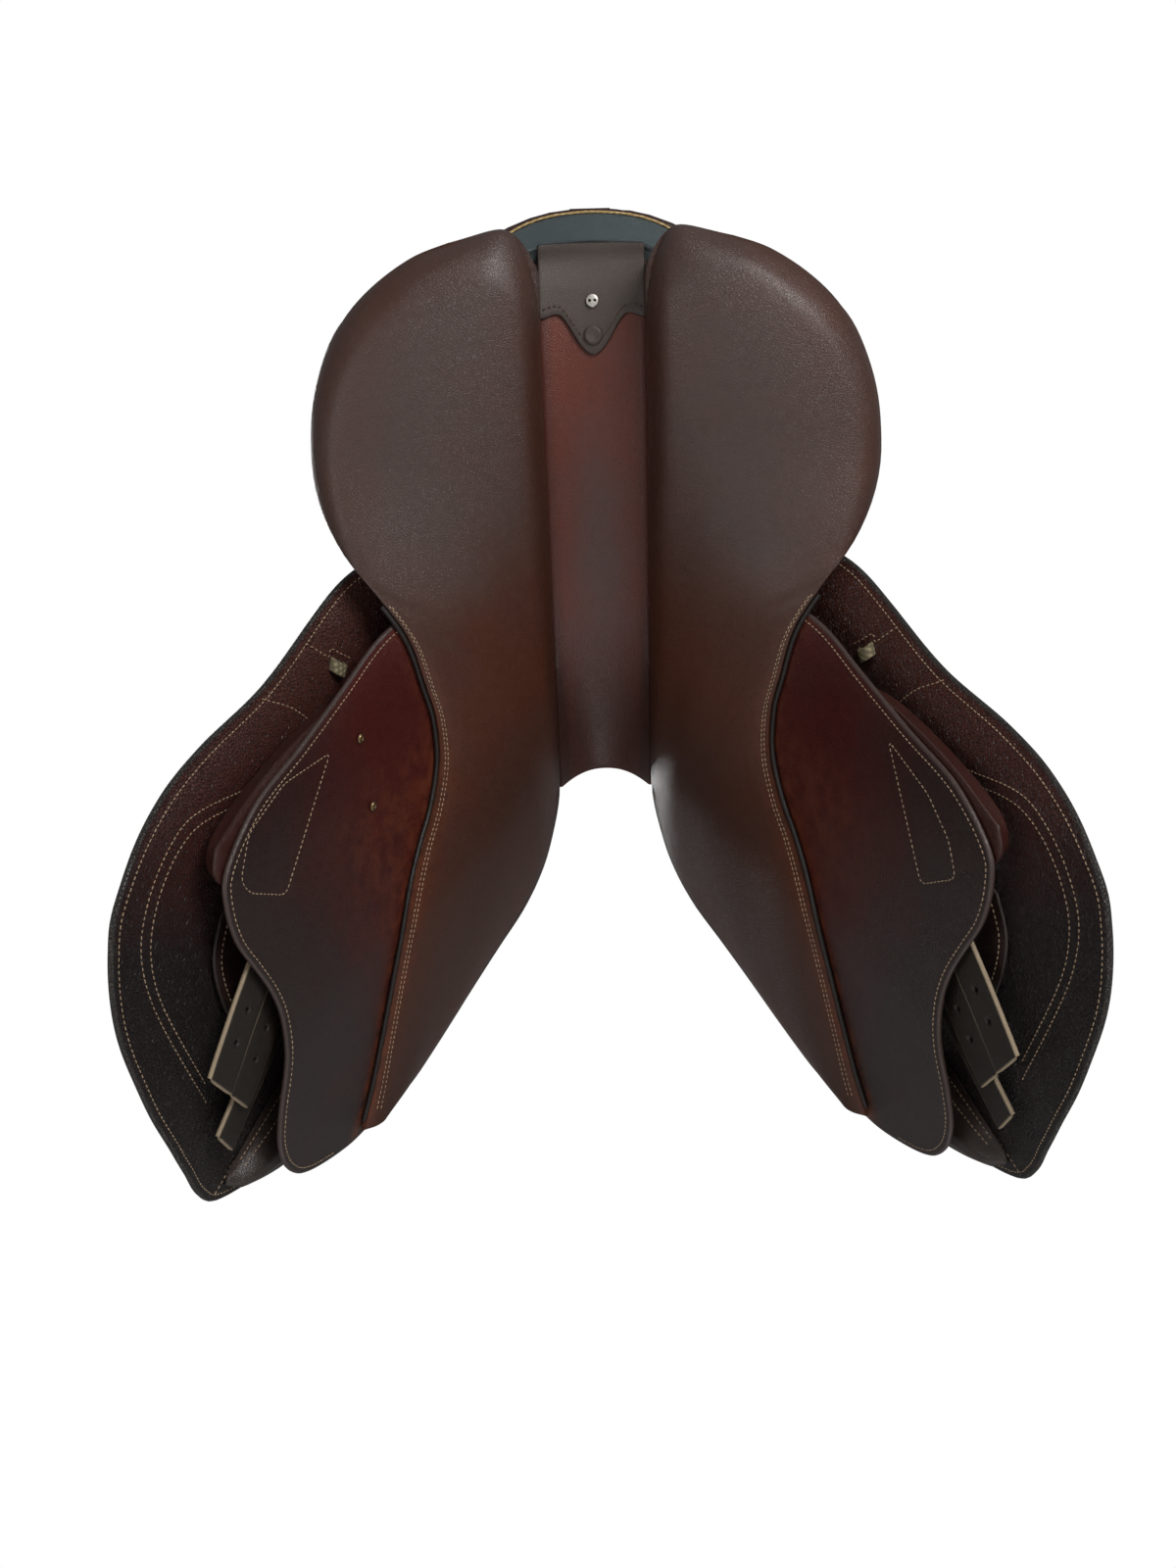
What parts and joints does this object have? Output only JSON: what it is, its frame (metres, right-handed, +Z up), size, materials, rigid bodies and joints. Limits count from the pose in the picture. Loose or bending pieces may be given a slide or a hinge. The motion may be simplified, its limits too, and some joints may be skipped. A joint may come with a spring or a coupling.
{
  "type": "jumping saddle",
  "caption": "Close-contact jumping saddle with forward flaps, cushioned panels, girth straps, knee and thigh blocks, stirrup bars with hinged catches and breastplate dees",
  "frame": {"origin": "on the saddle's mirror plane, at the middle of the surface where the panels bear on the horse", "axes": "+X the rider's right, +Y forward to the pommel, +Z up"},
  "size_m": [0.571, 0.5739, 0.4876],
  "materials": {
    "seat_leather": "soft grained, satin",
    "flap_leather": "pebble grained, satin",
    "sweat_flap_leather": "smooth, polished by wear",
    "panel_leather": "smooth calf, satin",
    "gullet_leather": "smooth, satin",
    "tab_leather": "smooth, matte",
    "cantle_leather": "fine grained, satin",
    "block_leather": "smooth, satin",
    "strap_leather": "waxed, raw edges",
    "guard_leather": "smooth, satin",
    "dark_piping": "satin",
    "gold_piping": "metallic sheen",
    "foam": "matte open-cell",
    "webbing": "woven, matte",
    "tree_wood": "laminated, sealed",
    "steel": "forged, dull",
    "nickel": "nickel plated, slightly worn"
  },
  "bodies": {
    "saddle": {"tree": "tree_wood", "head_plate": "steel", "seat_webbing": "webbing", "spring_steel_l": "steel", "spring_steel_r": "steel", "seat_foam": "foam", "seat_leather": "seat_leather", "pommel_facing": "gullet_leather", "cantle_facing": "cantle_leather", "cantle_piping": "gold_piping", "gullet_lining": "gullet_leather", "rear_tab": "tab_leather", "tab_screw": "nickel", "tab_button": "tab_leather", "flap_rivet_upper": "nickel", "flap_rivet_lower": "nickel", "seat_welt_l": "dark_piping", "seat_welt_r": "dark_piping", "panel_l": "panel_leather", "panel_r": "panel_leather", "panel_piping_l": "dark_piping", "panel_piping_r": "dark_piping", "sweat_flap_l": "sweat_flap_leather", "sweat_flap_r": "sweat_flap_leather", "thigh_block_l": "block_leather", "thigh_block_r": "block_leather", "stirrup_bar_l": "steel", "stirrup_bar_r": "steel", "catch_pin_l": "nickel", "catch_pin_r": "nickel", "billet_web_l": "webbing", "billet_web_r": "webbing", "dee_staple_l": "nickel", "dee_staple_r": "nickel", "pommel_nail_l": "nickel", "pommel_nail_r": "nickel"},
    "flap_assembly_r": {"flap_r": "flap_leather", "knee_block_r": "block_leather", "flap_keeper_r": "webbing"},
    "skirt_r": {"skirt_r": "flap_leather"},
    "bar_catch_r": {"bar_catch_r": "nickel"},
    "dee_ring_r": {"dee_ring_r": "nickel"},
    "buckle_guard_r": {"buckle_guard_r": "guard_leather"},
    "billet_rear_r": {"billet_rear_r": "strap_leather"},
    "billet_middle_r": {"billet_middle_r": "strap_leather"},
    "billet_front_r": {"billet_front_r": "strap_leather"},
    "flap_assembly_l": {"flap_l": "flap_leather", "knee_block_l": "block_leather", "flap_keeper_l": "webbing"},
    "skirt_l": {"skirt_l": "flap_leather"},
    "bar_catch_l": {"bar_catch_l": "nickel"},
    "dee_ring_l": {"dee_ring_l": "nickel"},
    "buckle_guard_l": {"buckle_guard_l": "guard_leather"},
    "billet_rear_l": {"billet_rear_l": "strap_leather"},
    "billet_middle_l": {"billet_middle_l": "strap_leather"},
    "billet_front_l": {"billet_front_l": "strap_leather"}
  },
  "joints": [
    {"name": "flap_lift_r", "type": "hinge", "parent": "saddle", "child": "flap_assembly_r", "pos_m": [0.0985, 0, 0.0425], "axis": [0, -1, 0], "range_deg": [0, 80]},
    {"name": "skirt_lift_r", "type": "hinge", "parent": "flap_assembly_r", "child": "skirt_r", "pos_m": [0.0985, 0, 0.0425], "axis": [0, -1, 0], "range_deg": [0, 45]},
    {"name": "catch_close_r", "type": "hinge", "parent": "saddle", "child": "bar_catch_r", "pos_m": [0.09798, 0.051, 0.01502], "axis": [-0.7113, 0, 0.7029], "range_deg": [0, 64]},
    {"name": "dee_swing_r", "type": "hinge", "parent": "saddle", "child": "dee_ring_r", "pos_m": [0.054, 0.2118, 0.084], "axis": [1, 0, 0], "range_deg": [0, 80]},
    {"name": "billet_swing_rear_r", "type": "hinge", "parent": "saddle", "child": "billet_rear_r", "pos_m": [0.14895, 0.05, -0.08163], "axis": [0.8975, 0.1392, 0.4185], "range_deg": [-2, 1.5]},
    {"name": "billet_swing_middle_r", "type": "hinge", "parent": "saddle", "child": "billet_middle_r", "pos_m": [0.14373, 0.078, -0.07059], "axis": [0.9029, 0.0872, 0.421], "range_deg": [-2, 1.5]},
    {"name": "billet_swing_front_r", "type": "hinge", "parent": "saddle", "child": "billet_front_r", "pos_m": [0.15191, 0.104, -0.08527], "axis": [0.9041, 0.0698, 0.4216], "range_deg": [-2, 1.5]},
    {"name": "guard_slide_r", "type": "slide", "parent": "saddle", "child": "buckle_guard_r", "axis": [-0.4226, 0, 0.9063], "range_m": [0, 0.025]},
    {"name": "flap_lift_l", "type": "hinge", "parent": "saddle", "child": "flap_assembly_l", "pos_m": [-0.0985, 0, 0.0425], "axis": [0, 1, 0], "range_deg": [0, 80]},
    {"name": "skirt_lift_l", "type": "hinge", "parent": "flap_assembly_l", "child": "skirt_l", "pos_m": [-0.0985, 0, 0.0425], "axis": [0, 1, 0], "range_deg": [0, 45]},
    {"name": "catch_close_l", "type": "hinge", "parent": "saddle", "child": "bar_catch_l", "pos_m": [-0.09798, 0.051, 0.01502], "axis": [-0.7113, 0, -0.7029], "range_deg": [0, 64]},
    {"name": "dee_swing_l", "type": "hinge", "parent": "saddle", "child": "dee_ring_l", "pos_m": [-0.054, 0.2118, 0.084], "axis": [1, 0, 0], "range_deg": [0, 80]},
    {"name": "billet_swing_rear_l", "type": "hinge", "parent": "saddle", "child": "billet_rear_l", "pos_m": [-0.14895, 0.05, -0.08163], "axis": [-0.8975, 0.1392, 0.4185], "range_deg": [-2, 1.5]},
    {"name": "billet_swing_middle_l", "type": "hinge", "parent": "saddle", "child": "billet_middle_l", "pos_m": [-0.14373, 0.078, -0.07059], "axis": [-0.9029, 0.0872, 0.421], "range_deg": [-2, 1.5]},
    {"name": "billet_swing_front_l", "type": "hinge", "parent": "saddle", "child": "billet_front_l", "pos_m": [-0.15191, 0.104, -0.08527], "axis": [-0.9041, 0.0698, 0.4216], "range_deg": [-2, 1.5]},
    {"name": "guard_slide_l", "type": "slide", "parent": "saddle", "child": "buckle_guard_l", "axis": [0.4226, 0, 0.9063], "range_m": [0, 0.025]}
  ]
}
